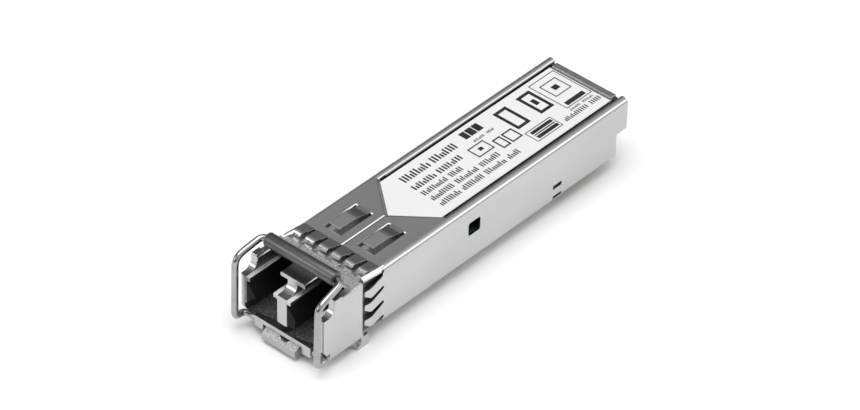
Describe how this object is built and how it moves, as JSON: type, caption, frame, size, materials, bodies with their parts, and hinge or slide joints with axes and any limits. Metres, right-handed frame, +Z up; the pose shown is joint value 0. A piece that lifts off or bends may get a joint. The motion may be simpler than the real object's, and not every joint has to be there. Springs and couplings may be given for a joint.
{
  "type": "optical transceiver module",
  "caption": "Small form-factor pluggable optical transceiver with duplex LC ports, spring-fingered sheet sleeve, kick-out latch and folding wire bail with a plastic grip.",
  "frame": {"origin": "centre of the bounding box at its bottom, on the surface the module rests on", "axes": "+X across the module, +Y from the LC ports to the edge connector, +Z up through the label"},
  "size_m": [0.0144, 0.0581, 0.013],
  "materials": {
    "cast_zinc": "plated zinc die casting, fine speckled satin",
    "plated_sheet": "nickel-plated sheet, satin",
    "polished_wire": "polished stainless wire",
    "turned_stainless": "turned stainless, bright",
    "gold_plated_can": "gold-plated package",
    "zirconia": "polished zirconia ceramic",
    "grip_plastic": "moulded dark grey plastic, satin",
    "label_film": "white polyester label with plain black bars",
    "green_board": "green solder mask on glass epoxy",
    "polyimide_flex": "amber polyimide film",
    "chip_resin": "black moulded resin",
    "capacitor_body": "brown ceramic with tinned ends",
    "retainer_resin": "black glass-filled resin",
    "gap_pad": "soft grey-blue silicone pad"
  },
  "bodies": {
    "housing": {"barrel_retainer": "retainer_resin", "circuit_board": "green_board", "controller_chip": "chip_resin", "identity_memory_chip": "chip_resin", "label": "label_film", "laser_driver_chip": "chip_resin", "latch_pivot_pin": "turned_stainless", "latch_spring": "polished_wire", "limiting_amplifier_chip": "chip_resin", "main_casting": "cast_zinc", "receive_ceramic_sleeve": "zirconia", "receive_detector_can": "gold_plated_can", "receive_flex": "polyimide_flex", "receive_receptacle_barrel": "turned_stainless", "receive_supply_inductor": "chip_resin", "shell_sleeve": "plated_sheet", "supply_capacitor_1": "capacitor_body", "supply_capacitor_2": "capacitor_body", "supply_capacitor_3": "capacitor_body", "supply_capacitor_4": "capacitor_body", "thermal_gap_pad": "gap_pad", "transmit_ceramic_sleeve": "zirconia", "transmit_flex": "polyimide_flex", "transmit_laser_can": "gold_plated_can", "transmit_receptacle_barrel": "turned_stainless", "transmit_supply_inductor": "chip_resin"},
    "latch": {"latch_lever": "cast_zinc"},
    "bail": {"bail_wire": "polished_wire", "bail_grip": "grip_plastic"}
  },
  "joints": [
    {"name": "bail_hinge", "type": "hinge", "parent": "housing", "child": "bail", "pos_m": [0, -0.0268, 0.00192], "axis": [1, 0, 0], "range_deg": [0, 90]},
    {"name": "latch_pivot", "type": "hinge", "parent": "housing", "child": "latch", "pos_m": [0, -0.02048, 0.0008], "axis": [1, 0, 0], "range_deg": [0, 5.5], "deforming": ["latch_spring"]}
  ],
  "couplings": [
    {"joint": "latch_pivot", "follows": "bail_hinge", "ratio": 0.06}
  ]
}
